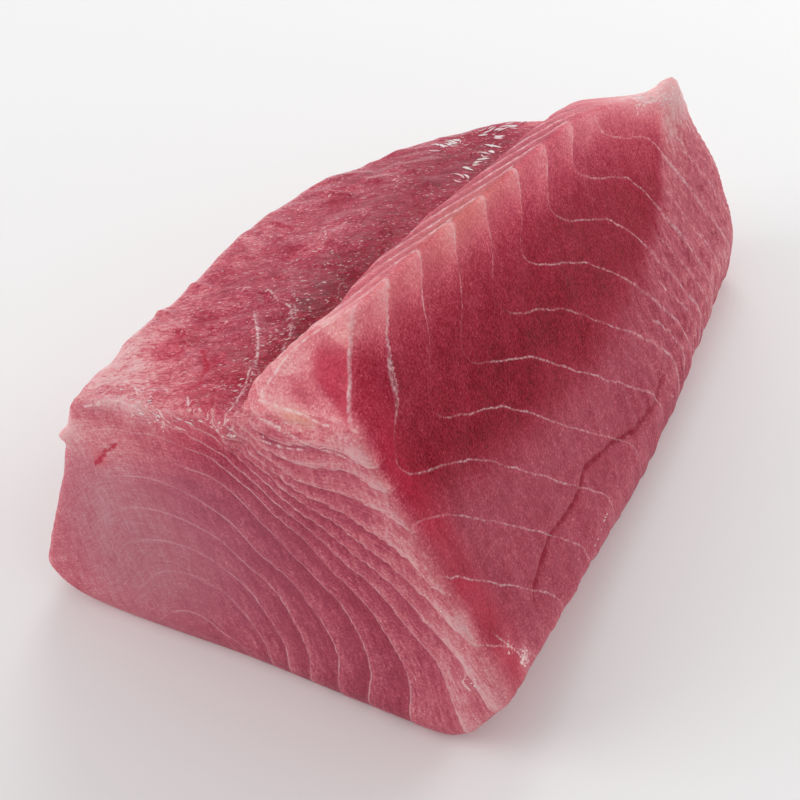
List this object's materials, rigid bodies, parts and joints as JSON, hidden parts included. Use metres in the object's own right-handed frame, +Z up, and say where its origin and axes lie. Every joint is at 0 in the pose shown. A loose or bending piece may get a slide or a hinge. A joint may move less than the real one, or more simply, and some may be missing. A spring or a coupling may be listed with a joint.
{
  "type": "raw tuna steak",
  "caption": "Thick block of raw red tuna loin with a ridge, a low shoulder, a flat underside and muscle layers showing on its cut faces.",
  "frame": {"origin": "middle of the bounding box, on the flat underside", "axes": "+Z up from the board, +X towards the long slope below the ridge, +Y away from the front cut along the fish"},
  "size_m": [0.1184, 0.1934, 0.0975],
  "materials": {
    "raw_flesh": "moist raw fish flesh, crimson, with thin pale membranes"
  },
  "bodies": {
    "root": {"tuna_flesh": "raw_flesh"}
  },
  "joints": []
}
